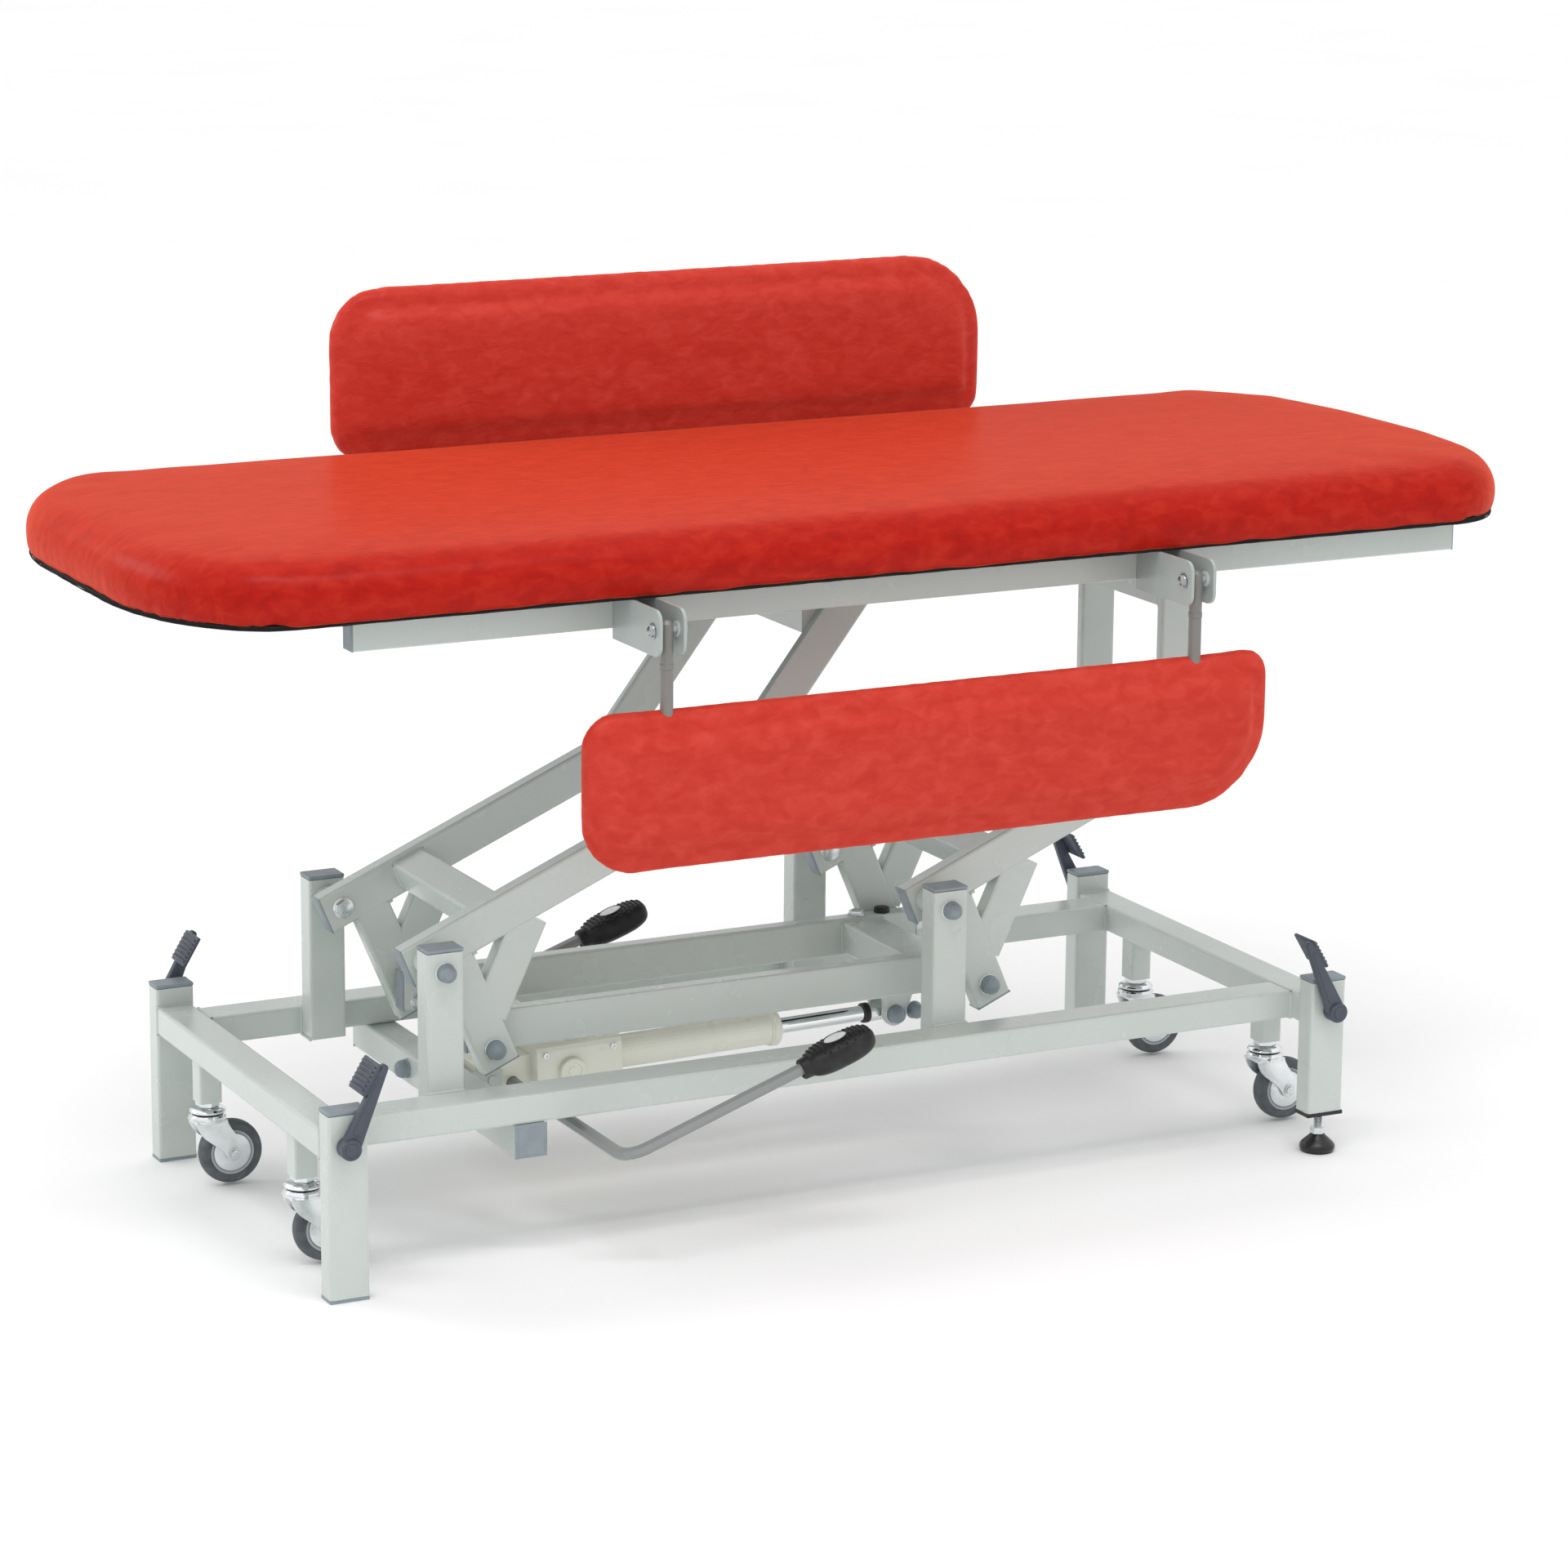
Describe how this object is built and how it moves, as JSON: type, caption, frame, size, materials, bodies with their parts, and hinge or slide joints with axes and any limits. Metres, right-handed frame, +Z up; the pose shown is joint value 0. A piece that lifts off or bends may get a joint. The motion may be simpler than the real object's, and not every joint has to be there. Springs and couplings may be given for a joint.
{
  "type": "height-adjustable hygiene table",
  "caption": "Hydraulic height-adjustable hygiene table on a steel base with retractable castors, a long padded bed and fold-down padded side rails.",
  "frame": {"origin": "on the floor, midway between the ends of the mattress and midway between the two side rails", "axes": "+Z up; +X along the mattress towards the end that the lifting arms point to; -Y is the front, where the side rail hangs down"},
  "size_m": [1.88, 0.874, 1.1],
  "materials": {
    "frame_paint": "pale grey-green powder coat, satin",
    "grey_cap": "satin",
    "black_rubber": "matte",
    "zinc_steel": "zinc plated",
    "dark_plastic": "fine grain",
    "castor_tyre": "matte",
    "grey_paint": "grey metallic paint",
    "pump_paint": "cream enamel",
    "red_vinyl": "grained vinyl, satin",
    "dark_board": "dark backing cloth on board"
  },
  "bodies": {
    "base": {"left_end_frame": "frame_paint", "right_end_frame": "frame_paint", "front_side_rail": "frame_paint", "rear_side_rail": "frame_paint", "lower_cross_tube": "frame_paint", "foot_plate": "black_rubber", "leg_cap_front_left": "grey_cap", "leg_cap_front_right": "grey_cap", "leg_cap_rear_left": "grey_cap", "leg_cap_rear_right": "grey_cap", "upright_cap_front_left": "grey_cap", "upright_cap_front_right": "grey_cap", "upright_cap_rear_left": "grey_cap", "upright_cap_rear_right": "grey_cap", "pivot_bolt_front_left": "zinc_steel", "pivot_bolt_front_right": "zinc_steel", "pivot_bolt_rear_left": "zinc_steel", "pivot_bolt_rear_right": "zinc_steel", "leg_plug_front_left": "grey_cap", "leg_plug_rear_left": "grey_cap", "leg_plug_rear_right": "grey_cap"},
    "left_arms": {"left_arm_frame": "frame_paint"},
    "right_arms": {"right_arm_frame": "frame_paint"},
    "link": {"link_frame": "frame_paint"},
    "top": {"top_frame": "frame_paint", "left_strut_frame": "frame_paint", "right_strut_frame": "frame_paint", "mattress_board": "dark_board", "mattress": "red_vinyl", "side_bracket_front_left": "grey_paint", "side_bracket_front_right": "grey_paint", "side_bracket_rear_left": "grey_paint", "side_bracket_rear_right": "grey_paint"},
    "front_side": {"side_tubes_front": "grey_paint", "side_panel_front": "red_vinyl"},
    "rear_side": {"side_tubes_rear": "grey_paint", "side_panel_rear": "red_vinyl"},
    "pump": {"pump_body": "pump_paint"},
    "ram": {"ram_rod": "zinc_steel"},
    "pedals": {"pedal_lever": "grey_paint", "pedal_pad_front": "black_rubber", "pedal_pad_rear": "black_rubber"},
    "foot": {"levelling_foot": "black_rubber"},
    "lever_front_left": {"castor_lever_front_left": "dark_plastic"},
    "post_front_left": {"castor_post_front_left": "frame_paint"},
    "fork_front_left": {"castor_fork_front_left": "zinc_steel"},
    "wheel_front_left": {"castor_wheel_front_left": "castor_tyre"},
    "lever_front_right": {"castor_lever_front_right": "dark_plastic"},
    "post_front_right": {"castor_post_front_right": "frame_paint"},
    "fork_front_right": {"castor_fork_front_right": "zinc_steel"},
    "wheel_front_right": {"castor_wheel_front_right": "castor_tyre"},
    "lever_rear_left": {"castor_lever_rear_left": "dark_plastic"},
    "post_rear_left": {"castor_post_rear_left": "frame_paint"},
    "fork_rear_left": {"castor_fork_rear_left": "zinc_steel"},
    "wheel_rear_left": {"castor_wheel_rear_left": "castor_tyre"},
    "lever_rear_right": {"castor_lever_rear_right": "dark_plastic"},
    "post_rear_right": {"castor_post_rear_right": "frame_paint"},
    "fork_rear_right": {"castor_fork_rear_right": "zinc_steel"},
    "wheel_rear_right": {"castor_wheel_rear_right": "castor_tyre"}
  },
  "joints": [
    {"name": "left_arm_lift", "type": "hinge", "parent": "base", "child": "left_arms", "pos_m": [-0.5455, 0, 0.358], "axis": [0, -1, 0], "range_deg": [-38, 22]},
    {"name": "right_arm_lift", "type": "hinge", "parent": "base", "child": "right_arms", "pos_m": [0.145, 0, 0.358], "axis": [0, -1, 0], "range_deg": [-38, 22]},
    {"name": "top_level", "type": "hinge", "parent": "left_arms", "child": "top", "pos_m": [-0.15992, 0, 0.52326], "axis": [0, -1, 0], "range_deg": [-22, 38]},
    {"name": "link_level", "type": "hinge", "parent": "left_arms", "child": "link", "pos_m": [-0.4545, 0, 0.234], "axis": [0, -1, 0], "range_deg": [-22, 38]},
    {"name": "pump_tilt", "type": "hinge", "parent": "base", "child": "pump", "pos_m": [-0.41, 0, 0.1575], "axis": [0, -1, 0], "range_deg": [-5, 3]},
    {"name": "ram_stroke", "type": "slide", "parent": "pump", "child": "ram", "axis": [0.9998, 0, 0.0216], "range_m": [-0.0875, 0.0505]},
    {"name": "pedal_press", "type": "hinge", "parent": "pump", "child": "pedals", "pos_m": [-0.3775, 0, 0.147], "axis": [0, -1, 0], "range_deg": [-18, 8], "stiffness_Nm_per_rad": 150},
    {"name": "front_side_fold", "type": "hinge", "parent": "top", "child": "front_side", "pos_m": [0, -0.4145, 0.8], "axis": [-1, 0, 0], "range_deg": [0, 180]},
    {"name": "rear_side_fold", "type": "hinge", "parent": "top", "child": "rear_side", "pos_m": [0, 0.4145, 0.8], "axis": [-1, 0, 0], "range_deg": [0, 180]},
    {"name": "foot_adjust", "type": "slide", "parent": "base", "child": "foot", "axis": [0, 0, -1], "range_m": [-0.005, 0.012]},
    {"name": "lever_front_left", "type": "hinge", "parent": "base", "child": "lever_front_left", "pos_m": [-0.718, -0.3145, 0.194], "axis": [0, 1, 0], "range_deg": [0, 60.2]},
    {"name": "castor_drop_front_left", "type": "slide", "parent": "base", "child": "post_front_left", "axis": [0, 0, -1], "range_m": [0, 0.015]},
    {"name": "swivel_front_left", "type": "hinge", "parent": "post_front_left", "child": "fork_front_left", "pos_m": [-0.716, -0.1655, 0.108], "axis": [0, 0, 1], "continuous": true},
    {"name": "roll_front_left", "type": "hinge", "parent": "fork_front_left", "child": "wheel_front_left", "pos_m": [-0.687, -0.1655, 0.0445], "axis": [0, 1, 0], "continuous": true},
    {"name": "lever_front_right", "type": "hinge", "parent": "base", "child": "lever_front_right", "pos_m": [0.648, -0.3145, 0.194], "axis": [0, -1, 0], "range_deg": [0, 60.2]},
    {"name": "castor_drop_front_right", "type": "slide", "parent": "base", "child": "post_front_right", "axis": [0, 0, -1], "range_m": [0, 0.015]},
    {"name": "swivel_front_right", "type": "hinge", "parent": "post_front_right", "child": "fork_front_right", "pos_m": [0.646, -0.1655, 0.108], "axis": [0, 0, 1], "continuous": true},
    {"name": "roll_front_right", "type": "hinge", "parent": "fork_front_right", "child": "wheel_front_right", "pos_m": [0.675, -0.1655, 0.0445], "axis": [0, 1, 0], "continuous": true},
    {"name": "lever_rear_left", "type": "hinge", "parent": "base", "child": "lever_rear_left", "pos_m": [-0.718, 0.3145, 0.194], "axis": [0, 1, 0], "range_deg": [0, 60.2]},
    {"name": "castor_drop_rear_left", "type": "slide", "parent": "base", "child": "post_rear_left", "axis": [0, 0, -1], "range_m": [0, 0.015]},
    {"name": "swivel_rear_left", "type": "hinge", "parent": "post_rear_left", "child": "fork_rear_left", "pos_m": [-0.716, 0.1655, 0.108], "axis": [0, 0, 1], "continuous": true},
    {"name": "roll_rear_left", "type": "hinge", "parent": "fork_rear_left", "child": "wheel_rear_left", "pos_m": [-0.687, 0.1655, 0.0445], "axis": [0, 1, 0], "continuous": true},
    {"name": "lever_rear_right", "type": "hinge", "parent": "base", "child": "lever_rear_right", "pos_m": [0.648, 0.3145, 0.194], "axis": [0, -1, 0], "range_deg": [0, 60.2]},
    {"name": "castor_drop_rear_right", "type": "slide", "parent": "base", "child": "post_rear_right", "axis": [0, 0, -1], "range_m": [0, 0.015]},
    {"name": "swivel_rear_right", "type": "hinge", "parent": "post_rear_right", "child": "fork_rear_right", "pos_m": [0.646, 0.1655, 0.108], "axis": [0, 0, 1], "continuous": true},
    {"name": "roll_rear_right", "type": "hinge", "parent": "fork_rear_right", "child": "wheel_rear_right", "pos_m": [0.675, 0.1655, 0.0445], "axis": [0, 1, 0], "continuous": true}
  ],
  "couplings": [
    {"joint": "right_arm_lift", "follows": "left_arm_lift", "ratio": 1},
    {"joint": "top_level", "follows": "left_arm_lift", "ratio": -1},
    {"joint": "link_level", "follows": "left_arm_lift", "ratio": -1},
    {"joint": "pump_tilt", "follows": "left_arm_lift", "ratio": 0.13},
    {"joint": "ram_stroke", "follows": "left_arm_lift", "m_per_rad": 0.13},
    {"joint": "lever_front_left", "follows": "castor_drop_front_left", "rad_per_m": 69.813},
    {"joint": "lever_front_right", "follows": "castor_drop_front_right", "rad_per_m": 69.813},
    {"joint": "lever_rear_left", "follows": "castor_drop_rear_left", "rad_per_m": 69.813},
    {"joint": "lever_rear_right", "follows": "castor_drop_rear_right", "rad_per_m": 69.813}
  ]
}
